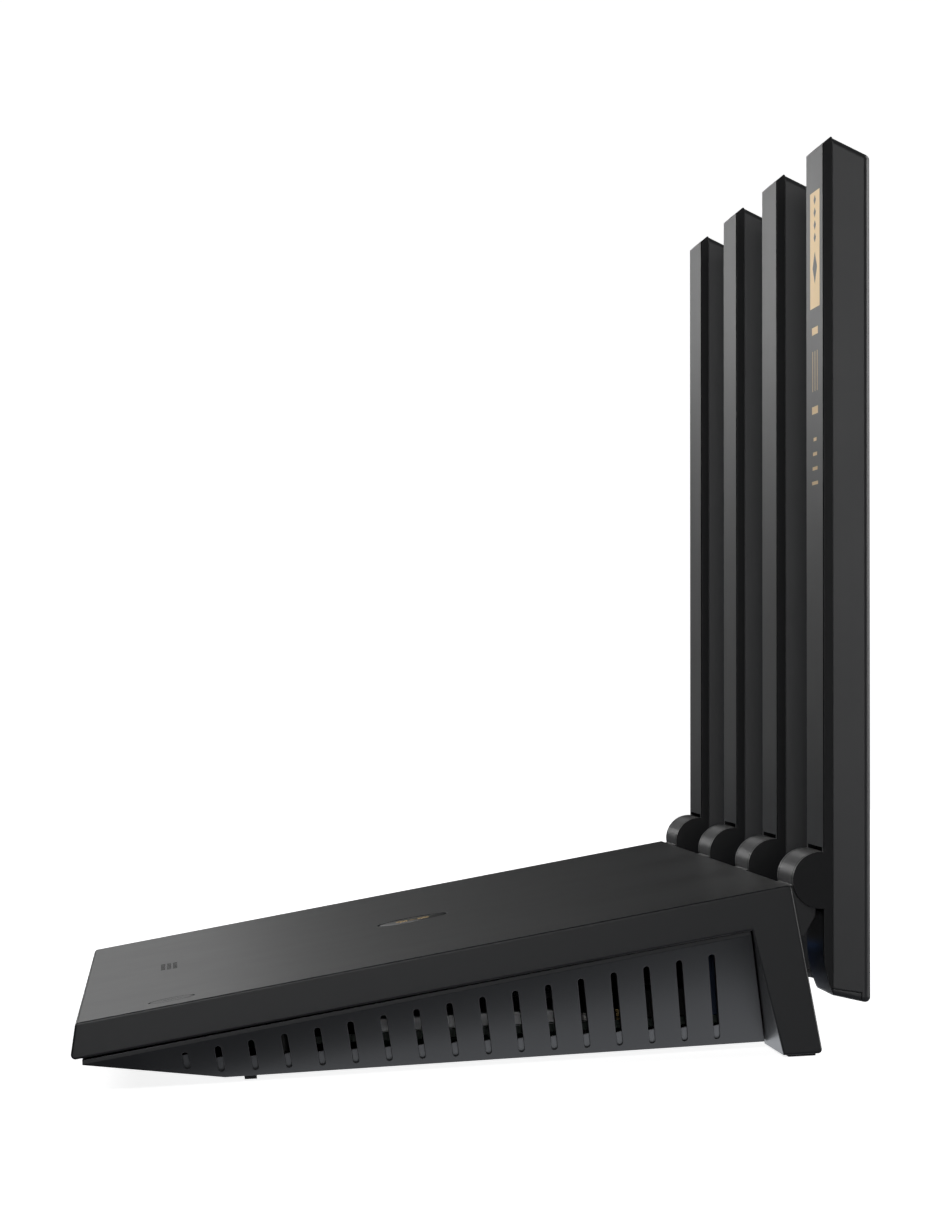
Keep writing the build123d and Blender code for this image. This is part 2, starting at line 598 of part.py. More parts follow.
def back_cover():
    body = back_outer() - prism(CAP_LINE, -20, 20)
    room = [(1.0, -20.0), (8.3, -20.8), (8.3, BLADE_TOP - 5.4), (1.0, BLADE_TOP - 2.4)]
    body -= prism(room, -9.85, 9.85)
    return body - bar_x(-TAB_OUT - 0.2, TAB_OUT + 0.2, 0, 0, 4.5)


def end_cap():
    small = [(BLADE_SEAM + 0.02, -21.3), (CAP_DEPTH - 0.1, -22.1),
             (CAP_DEPTH - 0.1, -30.0), (BLADE_SEAM + 0.02, -30.0)]
    return back_outer() & prism(small, -20, 20)


def antenna_board():
    board = block((-8.0, 8.0), (7.3, 8.28), (14.0, 132.0))
    for i in range(3):
        element_z = 28.0 + 34.0 * i
        board += block((-5.0, 5.0), (7.2, 7.35), (element_z, element_z + 24.0))
    return board


BLADE = {"front_cover": front_cover(), "back_cover": back_cover(),
         "end_cap": end_cap(), "board": antenna_board()}
for number, antenna_x in enumerate(ANTENNA_X, 1):
    stand = Pos(antenna_x, HINGE_Y, HINGE_Z) * Rot(-ANTENNA_LEAN, 0, 0)
    for piece_name, piece in BLADE.items():
        parts[f"antenna_{number}_{piece_name}"] = stand * piece

# ---- move the origin under the middle of the object and write the files --------------------
bounds = Compound(children=[solid for part in parts.values() for solid in part.solids()]).bounding_box()
middle_y = round((bounds.min.Y + bounds.max.Y) / 2, 2)
print("box", bounds.min, bounds.max, "origin is", middle_y, "behind the lid's front edge")
print("hinge axis at y", round(HINGE_Y - middle_y, 2), "z", HINGE_Z)

os.makedirs("parts", exist_ok=True)
for name, part in parts.items():
    export_step(Pos(0, -middle_y, 0) * part, f"parts/{name}.step")
print(len(parts), "nodes written")
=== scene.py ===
"""Looks for the wireless router: materials, printed marks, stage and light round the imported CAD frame."""
import json
import math

import bmesh
import bpy
from mathutils import Matrix, Vector


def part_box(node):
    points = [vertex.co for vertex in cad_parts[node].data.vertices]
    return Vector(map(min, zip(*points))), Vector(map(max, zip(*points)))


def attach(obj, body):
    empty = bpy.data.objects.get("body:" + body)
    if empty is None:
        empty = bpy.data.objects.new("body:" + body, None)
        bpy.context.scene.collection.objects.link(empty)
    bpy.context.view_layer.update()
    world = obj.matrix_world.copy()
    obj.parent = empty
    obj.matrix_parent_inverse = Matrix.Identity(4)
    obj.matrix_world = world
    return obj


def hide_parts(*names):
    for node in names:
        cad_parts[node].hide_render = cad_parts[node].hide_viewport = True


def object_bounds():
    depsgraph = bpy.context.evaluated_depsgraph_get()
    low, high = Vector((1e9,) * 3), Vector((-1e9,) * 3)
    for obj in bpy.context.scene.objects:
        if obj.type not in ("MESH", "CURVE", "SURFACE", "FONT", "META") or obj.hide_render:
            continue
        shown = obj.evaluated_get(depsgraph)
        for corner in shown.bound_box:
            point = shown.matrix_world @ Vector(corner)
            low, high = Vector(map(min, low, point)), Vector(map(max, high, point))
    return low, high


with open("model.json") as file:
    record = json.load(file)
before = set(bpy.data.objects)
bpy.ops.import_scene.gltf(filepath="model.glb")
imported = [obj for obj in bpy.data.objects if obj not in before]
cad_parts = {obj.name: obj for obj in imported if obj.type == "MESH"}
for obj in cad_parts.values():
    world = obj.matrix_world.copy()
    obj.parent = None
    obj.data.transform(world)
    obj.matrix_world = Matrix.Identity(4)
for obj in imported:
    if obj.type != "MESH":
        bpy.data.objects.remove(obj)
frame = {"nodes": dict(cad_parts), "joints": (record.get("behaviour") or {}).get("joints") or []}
cad_low, cad_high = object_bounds()

MM = 0.001
LID_TILT = math.radians(7.98)          # the lid rises to the rear
BLADE_LEAN = math.radians(-2.7)        # the antennas lean back as they stand
BLADE_FRONT = 0.4 * MM                 # front face of a blade, behind its hinge axis


# ---- material recipes -------------------------------------------------------------------
class Recipe:
    """One material's node tree. Sizes are in millimetres on the object."""

    def __init__(self, name, metallic=0.0):
        self.material = bpy.data.materials.new(name)
        self.material.use_nodes = True
        self.tree = self.material.node_tree
        self.shader = self.tree.nodes["Principled BSDF"]
        self.shader.inputs["Metallic"].default_value = metallic
        self.place = self.node("ShaderNodeTexCoord").outputs["Object"]

    def node(self, kind, inputs=(), **settings):
        made = self.tree.nodes.new(kind)
        for key, value in settings.items():
            setattr(made, key, value)
        for key, value in dict(inputs).items():
            self.feed(made.inputs[key], value)
        return made

    def feed(self, socket, value):
        if isinstance(value, bpy.types.NodeSocket):
            self.tree.links.new(value, socket)
        else:
            socket.default_value = value

    def stretched(self, scale):
        """Object coordinates scaled axis by axis."""
        return self.node("ShaderNodeMapping", {"Vector": self.place, "Scale": scale}).outputs[0]

    def noise(self, size, detail=3.0, place=None):
        """Cloudy noise with features `size` across."""
        inputs = {"Vector": place or self.place, "Scale": 1 / (size * MM), "Detail": detail}
        return self.node("ShaderNodeTexNoise", inputs).outputs["Fac"]

    def cells(self, size, place=None):
        """Small round pits or grains, `size` apart."""
        inputs = {"Vector": place or self.place, "Scale": 1 / (size * MM)}
        return self.node("ShaderNodeTexVoronoi", inputs, feature="SMOOTH_F1").outputs["Distance"]

    def ramp(self, value, low, high, to_low=0.0, to_high=1.0):
        inputs = {"Value": value, "From Min": low, "From Max": high, "To Min": to_low, "To Max": to_high}
        return self.node("ShaderNodeMapRange", inputs).outputs["Result"]

    def math(self, operation, first, second):
        return self.node("ShaderNodeMath", {0: first, 1: second}, operation=operation).outputs[0]

    def mix(self, factor, first, second):
        inputs = {"Factor": factor, "A": (*first, 1) if isinstance(first, tuple) else first,
                  "B": (*second, 1) if isinstance(second, tuple) else second}
        made = self.tree.nodes.new("ShaderNodeMix")
        made.data_type = "RGBA"
        for key, index in (("Factor", 0), ("A", 6), ("B", 7)):
            self.feed(made.inputs[index], inputs[key])
        return made.outputs[2]

    def softened(self, radius):
        """Shading normal with every sharp edge rounded off by `radius`."""
        return self.node("ShaderNodeBevel", {"Radius": radius * MM}, samples=6).outputs["Normal"]

    def edges(self, normal, patch):
        """1 along the outer edges, broken up so that the wear is uneven."""
        true_normal = self.node("ShaderNodeNewGeometry").outputs["Normal"]
        dot = self.node("ShaderNodeVectorMath", {0: normal, 1: true_normal}, operation="DOT_PRODUCT")
        edge = self.ramp(dot.outputs["Value"], 0.995, 0.9)
        return self.math("MULTIPLY", edge, self.ramp(self.noise(patch), 0.4, 0.65))

    def bump(self, height, depth, normal):
        """Relief `depth` high, on top of a rounded normal."""
        inputs = {"Height": height, "Distance": depth * MM, "Strength": 1.0, "Normal": normal}
        return self.node("ShaderNodeBump", inputs).outputs["Normal"]

    def finish(self, colour, roughness, normal=None):
        self.feed(self.shader.inputs["Base Color"], colour)
        self.feed(self.shader.inputs["Roughness"], roughness)
        if normal is not None:
            self.feed(self.shader.inputs["Normal"], normal)
        return self.material


def moulded(name, colour, roughness, grain=0.16, depth=0.004, edge=0.22, worn=1.9, specular=0.5):
    """Injection-moulded plastic: spark-eroded grain, faint flow clouds, edges rubbed a little lighter."""
    made = Recipe(name)
    made.shader.inputs["Specular IOR Level"].default_value = specular
    normal = made.softened(edge)
    rubbed = made.edges(normal, 2.5)
    clouds = made.noise(38.0, 4.0)
    handled = made.noise(16.0, 4.0)
    light = tuple(min(1.0, worn * part) for part in colour)
    deep = tuple(0.92 * part for part in colour)
    base = made.mix(made.ramp(clouds, 0.35, 0.65), deep, colour)
    base = made.mix(made.math("MULTIPLY", rubbed, 0.55), base, light)
    rough = made.ramp(handled, 0.3, 0.7, roughness - 0.005, roughness + 0.012)
    rough = made.math("SUBTRACT", rough, made.math("MULTIPLY", rubbed, 0.07))
    relief = made.math("ADD", made.cells(grain), made.math("MULTIPLY", made.noise(grain * 3, 2.0), 0.6))
    return made.finish(base, rough, made.bump(relief, depth, normal))


def metal(name, colour, dull, roughness, brushed=(1, 1, 1), depth=0.003, edge=0.08):
    """Plated or rolled metal: fine draw lines along one axis, duller patches, brighter edges."""
    made = Recipe(name, metallic=1.0)
    normal = made.softened(edge)
    lines = made.noise(0.25, 3.0, made.stretched(brushed))
    patches = made.ramp(made.noise(3.0, 5.0), 0.4, 0.7)
    base = made.mix(patches, colour, dull)
    base = made.mix(made.edges(normal, 1.0), base, tuple(min(1.0, 1.15 * part) for part in colour))
    rough = made.math("ADD", made.ramp(lines, 0.3, 0.7, roughness - 0.05, roughness + 0.05),
                      made.math("MULTIPLY", patches, 0.08))
    return made.finish(base, rough, made.bump(lines, depth, normal))


def soft_rubber(name, colour, roughness=0.75):
    """Foot rubber: closed pores and a dusty bloom."""
    made = Recipe(name)
    normal = made.softened(0.15)
    bloom = made.ramp(made.noise(1.6, 5.0), 0.45, 0.75)
    base = made.mix(bloom, colour, tuple(2.2 * part for part in colour))
    relief = made.math("ADD", made.cells(0.3), made.noise(0.9, 4.0))
    rough = made.ramp(bloom, 0, 1, roughness, roughness + 0.12)
    return made.finish(base, rough, made.bump(relief, 0.02, normal))


def grid_lines(made, pitch, width, offset, shape=()):
    """1 along the joints of a brick pattern, 0 inside: straight printed lines `pitch` millimetres apart."""
    inputs = {"Vector": made.place, "Scale": 1 / (pitch * MM), "Mortar Size": width, **dict(shape)}
    inputs.update({"Color1": (0, 0, 0, 1), "Color2": (0, 0, 0, 1), "Mortar": (1, 1, 1, 1)})
    return made.node("ShaderNodeTexBrick", inputs, offset=offset).outputs["Fac"]


def circuit_board(name):
    """Solder mask over copper: darker green laminate, raised traces and pads."""
    made = Recipe(name)
    lines = grid_lines(made, 2.4, 0.03, 0.31)
    weave = made.noise(0.5, 2.0, made.stretched((1.0, 4.0, 1.0)))
    base = made.mix(made.ramp(weave, 0.3, 0.7), (0.006, 0.032, 0.018), (0.009, 0.042, 0.022))
    base = made.mix(made.math("MULTIPLY", lines, 0.7), base, (0.02, 0.085, 0.04))
    relief = made.math("ADD", made.math("MULTIPLY", lines, 0.7), made.math("MULTIPLY", weave, 0.2))
    normal = made.bump(relief, 0.03, made.softened(0.1))
    return made.finish(base, made.ramp(weave, 0, 1, 0.28, 0.42), normal)


def light_guide(name, colour):
    """Milky polycarbonate that glows faintly where light leaves it."""
    made = Recipe(name)
    cloud = made.noise(0.8, 4.0)
    made.shader.inputs["Subsurface Weight"].default_value = 0.25
    made.shader.inputs["Subsurface Scale"].default_value = 0.4 * MM
    base = made.mix(made.ramp(cloud, 0.3, 0.7), colour, tuple(0.8 * part for part in colour))
    normal = made.bump(cloud, 0.01, made.softened(0.08))
    return made.finish(base, made.ramp(cloud, 0, 1, 0.22, 0.4), normal)


def film(name, colour, line_colour, pitch):
    """Printed foil: wound lines on a dark film."""
    made = Recipe(name)
    inputs = {"Vector": made.place, "Scale": 1 / (pitch * MM) / 6.28, "Distortion": 0.4}
    wave = made.node("ShaderNodeTexWave", inputs, wave_type="RINGS", rings_direction="Z")
    turns = wave.outputs["Fac"]
    base = made.mix(made.ramp(turns, 0.55, 0.7), colour, line_colour)
    normal = made.bump(turns, 0.02, made.softened(0.05))
    return made.finish(base, made.ramp(turns, 0, 1, 0.5, 0.3), normal)


def printed_paper(name):
    """Label stock: fibres under a satin varnish, with an empty ruled form."""
    made = Recipe(name)
    fibres = made.noise(0.35, 5.0, made.stretched((1.0, 3.0, 1.0)))
    rules = grid_lines(made, 9.0, 0.012, 0.0, {"Brick Width": 1.6, "Row Height": 0.45})
    base = made.mix(made.ramp(fibres, 0.3, 0.7), (0.016, 0.016, 0.018), (0.022, 0.022, 0.024))
    base = made.mix(made.math("MULTIPLY", rules, 0.8), base, (0.32, 0.32, 0.33))
    normal = made.bump(fibres, 0.006, made.softened(0.05))
    return made.finish(base, made.ramp(fibres, 0, 1, 0.38, 0.5), normal)


def gold_print(name):
    """Hot-foil gold: warm metal broken by the plastic's grain."""
    made = Recipe(name, metallic=0.9)
    speckle = made.noise(0.3, 4.0)
    worn = made.ramp(made.noise(1.4, 5.0), 0.55, 0.8)
    base = made.mix(made.ramp(speckle, 0.3, 0.7), (0.84, 0.59, 0.26), (0.90, 0.65, 0.31))
    base = made.mix(made.math("MULTIPLY", worn, 0.35), base, (0.72, 0.48, 0.25))
    normal = made.bump(speckle, 0.006, made.softened(0.05))
    return made.finish(base, made.ramp(speckle, 0, 1, 0.27, 0.36), normal)


MATERIALS = {
    "lid_plastic": moulded("lid_plastic", (0.0105, 0.0108, 0.0118), 0.33),
    "base_plastic": moulded("base_plastic", (0.0118, 0.0122, 0.0136), 0.42, grain=0.2, depth=0.006),
    "panel_plastic": moulded("panel_plastic", (0.010, 0.010, 0.011), 0.52, grain=0.3, depth=0.012),
    "hinge_plastic": moulded("hinge_plastic", (0.0095, 0.0098, 0.0105), 0.38, edge=0.3),
    "antenna_shell": moulded("antenna_shell", (0.020, 0.0204, 0.0216), 0.34, edge=0.3),
    "foot_rubber": soft_rubber("foot_rubber", (0.008, 0.008, 0.008)),
    "button_plastic": moulded("button_plastic", (0.013, 0.013, 0.014), 0.36, edge=0.15),
    "port_plastic": moulded("port_plastic", (0.016, 0.016, 0.017), 0.45, grain=0.25, depth=0.008),
    "port_plastic_blue": moulded("port_plastic_blue", (0.010, 0.052, 0.17), 0.42, grain=0.25, depth=0.008,
                                 worn=1.5),
    "light_guide": light_guide("light_guide", (0.55, 0.57, 0.60)),
    "gold_badge": gold_print("gold_badge"),
    "gold_plate": metal("gold_plate", (0.83, 0.61, 0.27), (0.62, 0.43, 0.18), 0.25, (1, 6, 1)),
    "steel": metal("steel", (0.58, 0.57, 0.55), (0.42, 0.41, 0.40), 0.30, (8, 1, 1)),
    "black_screw": metal("black_screw", (0.05, 0.05, 0.052), (0.03, 0.03, 0.03), 0.42),
    "tin_plate": metal("tin_plate", (0.62, 0.63, 0.64), (0.48, 0.49, 0.50), 0.34, (1, 8, 1)),
    "aluminium": metal("aluminium", (0.050, 0.051, 0.054), (0.034, 0.035, 0.037), 0.46, (6, 1, 1),
                       depth=0.006),                   # black anodised
    "thermal_pad": soft_rubber("thermal_pad", (0.16, 0.19, 0.22), 0.6),
    "circuit_board": circuit_board("circuit_board"),
    "coil_film": film("coil_film", (0.05, 0.03, 0.015), (0.55, 0.26, 0.12), 0.8),
    "chip_plastic": moulded("chip_plastic", (0.014, 0.014, 0.015), 0.55, grain=0.12, depth=0.01),
    "capacitor_can": metal("capacitor_can", (0.55, 0.56, 0.60), (0.40, 0.41, 0.45), 0.28, (1, 1, 8)),
    "label_paper": printed_paper("label_paper"),
    "cable_jacket": moulded("cable_jacket", (0.020, 0.020, 0.021), 0.4, grain=0.3, depth=0.01),
    "vent_sill": moulded("vent_sill", (0.085, 0.086, 0.089), 0.5, grain=0.2, depth=0.006),
    "tap_ink": moulded("tap_ink", (0.0035, 0.0035, 0.004), 0.6, edge=0.05, specular=0.15),
}
# finishes that share one of the record's slots
# the strip and ears of an antenna's front cover get a darker, less glossy copy of the blade's plastic:
# painted shade for the shade these faces show
PAINTED_SHADE_ANTENNA_FACE = moulded("antenna_face_painted_shade", (0.0042, 0.0044, 0.005), 0.30, edge=0.12, specular=0.28)

for node in frame["nodes"].values():
    for entry in node.material_slots:
        entry.material = MATERIALS[entry.material.name.split(".")[0]]
# painted shade: the front covers take the darker copy of the antenna plastic
for number in range(1, 5):
    frame["nodes"][f"antenna_{number}_front_cover"].material_slots[0].material = PAINTED_SHADE_ANTENNA_FACE


# ---- mesh helpers -----------------------------------------------------------------------
def add_piece(name, mesh, material, body, place=None, smooth=True):
    """Links a piece in the row frame, on the body that carries it."""
    mesh.materials.append(MATERIALS[material])
    piece = bpy.data.objects.new(name, mesh)
    bpy.context.scene.collection.objects.link(piece)
    if place is not None:
        mesh.transform(place)
    if smooth:
        mesh.shade_smooth()
        mesh.set_sharp_from_angle(angle=math.radians(35))
    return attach(piece, body)


def mesh_from(name, bm):
    mesh = bpy.data.meshes.new(name)
    bm.to_mesh(mesh)
    bm.free()
    return mesh


def lathe(name, profile, steps=96):
    """Closed ring of revolution about Z from an outline of (radius, height), in millimetres."""
    bm = bmesh.new()
    rings = []
    for step in range(steps):
        turn = 2 * math.pi * step / steps
        ring = [bm.verts.new((r * math.cos(turn) * MM, r * math.sin(turn) * MM, z * MM)) for r, z in profile]
        rings.append(ring)
    for index, ring in enumerate(rings):
        after = rings[(index + 1) % steps]
        for k in range(len(profile) - 1):
            bm.faces.new((ring[k], after[k], after[k + 1], ring[k + 1]))
    bmesh.ops.remove_doubles(bm, verts=bm.verts, dist=1e-7)
    bmesh.ops.recalc_face_normals(bm, faces=bm.faces)
    return mesh_from(name, bm)


def raised(name, outlines, low, high):
    """Printed or inlaid shapes: flat outlines in millimetres raised from `low` to `high`, edges eased."""
    bm = bmesh.new()
    ease = min(0.04, (high - low) * 0.4)
    for outline in outlines:
        count = len(outline)
        middle = Vector((sum(p[0] for p in outline) / count, sum(p[1] for p in outline) / count))
        levels = ((low, 0.0), (high - ease, 0.0), (high, ease))
        rings = []
        for z, inset in levels:
            ring = []
            for x, y in outline:
                toward = middle - Vector((x, y))
                shift = toward.normalized() * inset if toward.length else toward
                ring.append(bm.verts.new(((x + shift.x) * MM, (y + shift.y) * MM, z * MM)))
            rings.append(ring)
        for under, over in zip(rings, rings[1:]):
            for k in range(count):
                bm.faces.new((under[k], under[(k + 1) % count], over[(k + 1) % count], over[k]))
        bm.faces.new(rings[-1])
        bm.faces.new(list(reversed(rings[0])))
    bmesh.ops.recalc_face_normals(bm, faces=bm.faces)
    return mesh_from(name, bm)


def rectangle(x, y, wide, high):
    """Outline of a rectangle round its middle."""
    return [(x - wide / 2, y - high / 2), (x + wide / 2, y - high / 2),
            (x + wide / 2, y + high / 2), (x - wide / 2, y + high / 2)]


def diamond(x, y, half_wide, half_high):
    """Outline of a diamond round its middle."""
    return [(x, y - half_high), (x + half_wide, y), (x, y + half_high), (x - half_wide, y)]


def arc_band(inner, outer, middle, half, steps=14):
    """Outline of a band between two radii, spanning `half` degrees either side of `middle`."""
    turns = [math.radians(middle - half + 2 * half * k / steps) for k in range(steps + 1)]
    out = [(outer * math.cos(t), outer * math.sin(t)) for t in turns]
    back = [(inner * math.cos(t), inner * math.sin(t)) for t in reversed(turns)]
    return out + back


# ---- places on the frame ----------------------------------------------------------------
badge_low, badge_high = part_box("badge")
BADGE_RADIUS = (badge_high.x - badge_low.x) / 2 / MM
BADGE_THICK = 0.4
badge_centre = (badge_low + badge_high) / 2
lid_normal = Vector((0, -math.sin(LID_TILT), math.cos(LID_TILT)))
badge_top = badge_centre + lid_normal * BADGE_THICK * MM / 2


def on_lid(x, y):
    """Matrix with its XY plane on the lid's top face at (x, y) of the row frame."""
    z = badge_top.z + (y - badge_top.y) * math.tan(LID_TILT)
    return Matrix.Translation((x, y, z)) @ Matrix.Rotation(LID_TILT, 4, "X")


def on_blade(joint_name):
    """Matrix with X across a blade's front face, Y up it and Z out of it."""
    joint = next(j for j in frame["joints"] if j["name"] == joint_name)
    hinge = Matrix.Translation(Vector(joint["pos_m"]))
    lean = Matrix.Rotation(BLADE_LEAN, 4, "X")
    return hinge @ lean @ Matrix.Translation((0, BLADE_FRONT, 0)) @ Matrix.Rotation(math.radians(90), 4, "X")


# ---- badge: dark disc in a fine groove, with a plain ripple of gold arcs -----------------
RIPPLE_RADII, RIPPLE_HALF_WIDE = (1.7, 2.6, 3.5), 0.24
RIPPLE_HALF_TURN = 40                                  # degrees either side of the lid's middle line
GOLD_DEEP = 0.06


def make_badge():
    rim = BADGE_RADIUS
    profile = [(0, -0.05), (rim - 0.62, -0.05), (rim - 0.50, -0.09), (rim - 0.46, -0.36),
               (rim - 0.04, -0.36), (rim - 0.02, -BADGE_THICK), (0, -BADGE_THICK)]
    place = on_lid(badge_top.x, badge_top.y)
    disc = add_piece("badge_disc", lathe("badge_disc", profile), "lid_plastic", "case", place)
    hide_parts("badge")
    arcs = [arc_band(r - RIPPLE_HALF_WIDE, r + RIPPLE_HALF_WIDE, side, RIPPLE_HALF_TURN)
            for r in RIPPLE_RADII for side in (90, -90)]
    ripple = raised("badge_ripple", arcs, -GOLD_DEEP, 0.0)
    add_piece("badge_ripple", ripple, "gold_badge", "case", place, smooth=False)
    dome = [(0, 0.0), (0.5, -0.01), (0.72, -0.03), (0.78, -GOLD_DEEP), (0, -GOLD_DEEP)]
    dot = lathe("badge_dot", dome, 48)
    add_piece("badge_dot", dot, "gold_badge", "case", place)


# ---- tap mark near the lid's front edge --------------------------------------------------
TAP_FROM_FRONT = 19.4 * MM
TAP_CELL, TAP_PITCH = 0.95, 1.32
TAP_COLUMNS, TAP_ROWS = range(-7, 8), (-1, 0, 1)
INK_THICK = 0.012


def make_tap_mark():
    cells = []
    for column in TAP_COLUMNS:
        for row in TAP_ROWS:
            if (column + row) % 3 != 0:
                cells.append(rectangle(column * TAP_PITCH, row * TAP_PITCH, TAP_CELL, TAP_CELL))
    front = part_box("top_cover")[0].y
    add_piece("tap_mark", raised("tap_mark", cells, 0.0, INK_THICK), "tap_ink", "case",
              on_lid(0, front + TAP_FROM_FRONT), smooth=False)


# ---- gold marks up the nearest blade ------------------------------------------------------
# a bar with diamonds let into it, then dashes and lines; heights are above the hinge axis
MARK_X, MARK_WIDE = 0.8, 12.8
BAR_MIDDLE, BAR_HIGH = 125.0, 23.2
DASH_HEIGHTS, DASH_HIGH = (108.8, 93.0), 1.5
DASH_SHARE = 0.62
LINE_MIDDLE, LINE_HIGH, LINE_WIDE = 100.8, 8.0, 0.5
LINE_PITCH = 0.24 * MARK_WIDE
STEP_LOWEST, STEP_PITCH, STEP_HIGH = 78.5, 2.9, 0.7
STEP_NARROWS = 0.1                                     # each step up is narrower by this share
FOIL_LOW, FOIL_HIGH = -0.01, 0.02
WINDOW_LOW, WINDOW_HIGH = 0.015, 0.028
BIG_DIAMOND, BIG_HALF_WIDE, BIG_HALF_HIGH = 121.4, 2.9, 3.2
SMALL_DIAMONDS, SMALL_HALF_WIDE, SMALL_HALF_HIGH = (127.4, 129.9, 132.4, 134.9), 1.5, 1.0


def make_blade_marks():
    place = on_blade("antenna_1_fold")
    gold = [rectangle(MARK_X, BAR_MIDDLE, MARK_WIDE, BAR_HIGH)]
    gold += [rectangle(MARK_X, DASH_HEIGHTS[0], MARK_WIDE * DASH_SHARE, DASH_HIGH)]
    gold += [rectangle(MARK_X + side * LINE_PITCH, LINE_MIDDLE, LINE_WIDE, LINE_HIGH) for side in (-1, 0, 1)]
    gold += [rectangle(MARK_X, DASH_HEIGHTS[1], MARK_WIDE * DASH_SHARE, DASH_HIGH)]
    for step in range(4):
        wide = MARK_WIDE * (DASH_SHARE - STEP_NARROWS * step)
        gold.append(rectangle(MARK_X, STEP_LOWEST + STEP_PITCH * step, wide, STEP_HIGH))
    add_piece("blade_marks", raised("blade_marks", gold, FOIL_LOW, FOIL_HIGH), "gold_badge", "antenna_1",
              place, smooth=False)
    dark = [diamond(MARK_X, BIG_DIAMOND, BIG_HALF_WIDE, BIG_HALF_HIGH)]
    dark += [diamond(MARK_X, height, SMALL_HALF_WIDE, SMALL_HALF_HIGH) for height in SMALL_DIAMONDS]
    windows = raised("blade_mark_windows", dark, WINDOW_LOW, WINDOW_HIGH)
    add_piece("blade_mark_windows", windows, "antenna_shell", "antenna_1", place, smooth=False)


# ---- sills: paler ends of the vent slots, a little behind the side walls --------------------
VENT_COUNT, VENT_WIDTH = 17, 1.3 * MM
VENT_FIRST, VENT_LAST = 22.24 * MM, 127.34 * MM        # behind the nose's tip
SILL_HIGH, SILL_INSET, SILL_DEEP = 3.0 * MM, 0.35 * MM, 1.2 * MM
LIP_DROP, REVEAL = 8.35 * MM, 0.8 * MM                 # where the side wall starts under the lid's edge
SLOT_CLEAR = 1.2 * MM                                  # from the underside to a slot's lower end
TOP_CLEAR = 1.5 * MM                                   # from the side wall's start to a slot's upper end
TOP_CLEAR_GROWS = 1.0 * MM                             # more of it at the last slot
SILL_PLAY = 0.03 * MM
TAPER_FROM, TAPER_RISE = 29.74 * MM, 0.157             # ahead of this the underside climbs


def sill_outline(middle_y, low_z, steps=8):
    """Slot's lower end as (y, z) points: round below, straight sides, leaning square to the lid."""
    radius = VENT_WIDTH / 2 - SILL_PLAY
    turns = [math.pi + math.pi * k / steps for k in range(steps + 1)]
    local = [(radius * math.cos(t), radius + radius * math.sin(t)) for t in turns]
    local += [(radius, SILL_HIGH), (-radius, SILL_HIGH)]
    across = (math.cos(LID_TILT), math.sin(LID_TILT))
    up = (-math.sin(LID_TILT), math.cos(LID_TILT))
    return [(middle_y + u * across[0] + v * up[0], low_z + u * across[1] + v * up[1]) for u, v in local]


def make_sills():
    """One sill per slot and side, its outer face following the leaning wall."""
    nose = cad_low.y
    edge = cad_high.x - REVEAL
    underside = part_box("bottom_cover")[0].z
    slope = math.tan(LID_TILT)

    def lid_height(y):
        return badge_top.z + (y - badge_top.y) * slope

    bm = bmesh.new()
    for index in range(VENT_COUNT):
        share = index / (VENT_COUNT - 1)
        y = nose + VENT_FIRST + (VENT_LAST - VENT_FIRST) * share
        top = lid_height(y) - LIP_DROP - TOP_CLEAR - TOP_CLEAR_GROWS * share
        low = underside + max(0.0, nose + TAPER_FROM - y) * TAPER_RISE + SLOT_CLEAR
        half = (top - low) / 2
        outline = sill_outline(y + half * math.sin(LID_TILT), (top + low) / 2 - half * math.cos(LID_TILT))
        for side in (1, -1):
            rings = []
            for inset in (SILL_INSET, SILL_INSET + SILL_DEEP):
                wall = [edge + z + LIP_DROP - lid_height(y_at) - inset for y_at, z in outline]
                rings.append([bm.verts.new((side * x, y_at, z)) for x, (y_at, z) in zip(wall, outline)])
            outer, inner = rings
            count = len(outline)
            for k in range(count):
                bm.faces.new((outer[k], outer[(k + 1) % count], inner[(k + 1) % count], inner[k]))
            bm.faces.new(outer)
            bm.faces.new(inner)
    bmesh.ops.recalc_face_normals(bm, faces=bm.faces)
    add_piece("vent_sills", mesh_from("vent_sills", bm), "vent_sill", "case", smooth=False)


make_badge()
make_tap_mark()
make_blade_marks()
make_sills()


# ---- stage --------------------------------------------------------------------------------
def plain(name, colour, glow=0.0):
    """Stage surface: seamless paper with a faint tooth, or a glowing backdrop."""
    made = Recipe(name)
    tooth = made.noise(1.2, 3.0)
    base = made.mix(tooth, tuple(0.98 * part for part in colour), colour)
    if glow:
        made.shader.inputs["Emission Color"].default_value = (1, 1, 1, 1)
        made.shader.inputs["Emission Strength"].default_value = glow
    made.shader.inputs["Specular IOR Level"].default_value = 0.1
    return made.finish(base, 0.9)


def stage_mesh(name, build, material, camera_only):
    """Part of the set, seen either by the camera alone or by everything except the camera."""
    bm = bmesh.new()
    build(bm)
    mesh = mesh_from(name, bm)
    mesh.materials.append(material)
    made = bpy.data.objects.new(name, mesh)
    bpy.context.scene.collection.objects.link(made)
    if camera_only:
        made.visible_diffuse = made.visible_glossy = made.visible_transmission = False
        made.visible_shadow = False
    else:
        made.visible_camera = False
    return made


FLOOR_HALF, CARD_HALF, BACKDROP_RADIUS = 1.1, 1.6, 8.0
CARD_DEPTH = 14 * MM                                   # leaves room for the light under the object

stage_mesh("floor", lambda bm: bmesh.ops.create_grid(bm, size=FLOOR_HALF),
           plain("floor", (0.93, 0.93, 0.93), glow=0.86), camera_only=True)
card = stage_mesh("bounce_card", lambda bm: bmesh.ops.create_grid(bm, size=CARD_HALF),
                  plain("bounce_card", (0.34, 0.35, 0.38)), camera_only=False)
card.location.z = -CARD_DEPTH
stage_mesh("backdrop", lambda bm: bmesh.ops.create_icosphere(bm, subdivisions=4, radius=BACKDROP_RADIUS),
           plain("backdrop", (0.9, 0.9, 0.9), glow=1.0), camera_only=True)

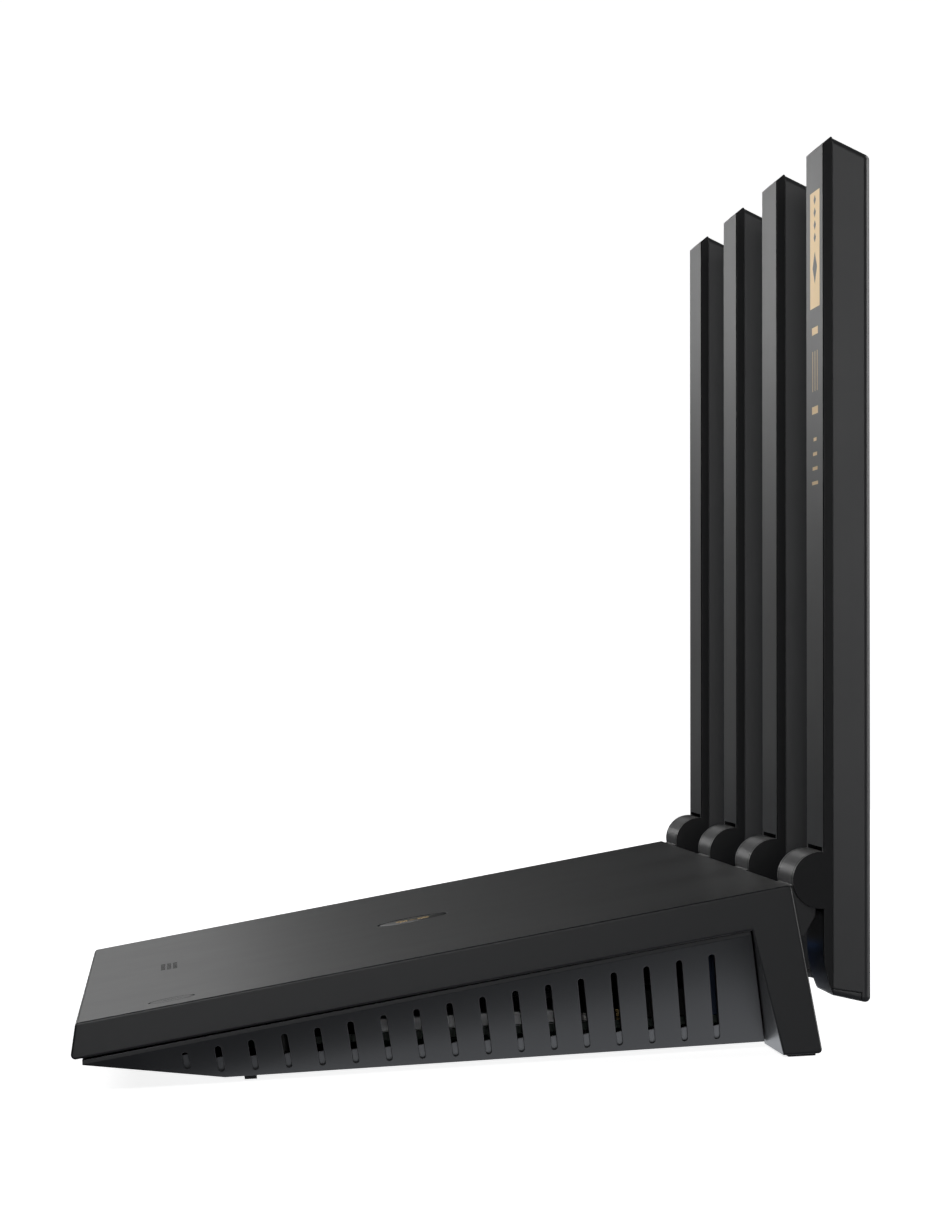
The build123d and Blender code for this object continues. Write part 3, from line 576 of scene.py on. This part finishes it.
world = bpy.data.worlds.new("studio")
bpy.context.scene.world = world
world.use_nodes = True
world.node_tree.nodes["Background"].inputs["Color"].default_value = (0.9, 0.95, 1.0, 1)
world.node_tree.nodes["Background"].inputs["Strength"].default_value = 0.018


LIGHT_AIM = Vector((0, 0, 0.06))


def softbox(name, azimuth, elevation, distance, size, power, colour=(1, 1, 1)):
    """Area light seen from the aim point at that azimuth (0 is -X, 90 is -Y) and elevation, in degrees."""
    turn, rise = math.radians(azimuth), math.radians(elevation)
    away = Vector((-math.cos(turn) * math.cos(rise), -math.sin(turn) * math.cos(rise), math.sin(rise)))
    data = bpy.data.lights.new(name, "AREA")
    data.shape = "RECTANGLE"
    data.size, data.size_y = size
    data.energy = power
    data.color = colour
    light = bpy.data.objects.new(name, data)
    light.location = LIGHT_AIM + away * distance
    light.rotation_euler = (-away).to_track_quat("-Z", "Y").to_euler()
    light.visible_camera = False
    bpy.context.scene.collection.objects.link(light)


# a stack of small panels beyond the far end shades the lid and the blade fronts from bright to dark
FAR_DISTANCE, FAR_PANEL = 4.0, (0.42, 0.42)
softbox("far_high", 4, 27, FAR_DISTANCE, FAR_PANEL, 1.6)
softbox("far_upper", 10, 27, FAR_DISTANCE, FAR_PANEL, 5.4)
softbox("far_middle", 17, 8, FAR_DISTANCE, FAR_PANEL, 2.8)
softbox("far_lower", 4, 8, FAR_DISTANCE, FAR_PANEL, 0.31)
softbox("far_floor_line", 4, 1.5, FAR_DISTANCE, FAR_PANEL, 0.24)
# the camera's side has a low panel and a higher one
NEAR_DISTANCE, NEAR_PANEL = 3.0, (0.6, 0.5)
softbox("near_low", 178, 5, NEAR_DISTANCE, NEAR_PANEL, 5.5)
softbox("near_high", 165, 32, NEAR_DISTANCE, NEAR_PANEL, 18)
# the sides the photo does not show
softbox("behind", -80, 30, 2.2, (2.0, 1.2), 30)
softbox("behind_low", -96, 5, 2.5, (2.4, 0.5), 24)
softbox("front", 84, 38, 2.5, (2.4, 1.0), 15)
# a white table's bounce, close under the object
softbox("under_glow", 90, -90, 0.066, (0.206, 0.135), 0.085, (0.92, 0.95, 1.0))

# ---- camera -------------------------------------------------------------------------------
CLIP_NEAR, CLIP_FAR = 0.05, 40
CAMERA_PLACE = Vector((973.19, -59.51, 81.50)) * MM
CAMERA_YAW, CAMERA_PITCH, CAMERA_ROLL = 0.0682, 0.0110, -0.0470
CAMERA_LENS = 130.96


def make_camera():
    """Camera at the photograph's place and angle, turned from looking along -X, in radians."""
    ahead = Vector((-math.cos(CAMERA_YAW) * math.cos(CAMERA_PITCH),
                    math.sin(CAMERA_YAW) * math.cos(CAMERA_PITCH), math.sin(CAMERA_PITCH)))
    level = ahead.cross(Vector((0, 0, 1))).normalized()
    above = level.cross(ahead)
    right = level * math.cos(CAMERA_ROLL) + above * math.sin(CAMERA_ROLL)
    up = above * math.cos(CAMERA_ROLL) - level * math.sin(CAMERA_ROLL)
    data = bpy.data.cameras.new("camera")
    data.lens = CAMERA_LENS
    data.clip_start, data.clip_end = CLIP_NEAR, CLIP_FAR
    camera = bpy.data.objects.new("camera", data)
    turn = Matrix((right, up, -ahead)).transposed().to_4x4()
    camera.matrix_world = Matrix.Translation(CAMERA_PLACE) @ turn
    bpy.context.scene.collection.objects.link(camera)
    bpy.context.scene.camera = camera


make_camera()
bpy.context.scene.view_settings.view_transform = "Standard"
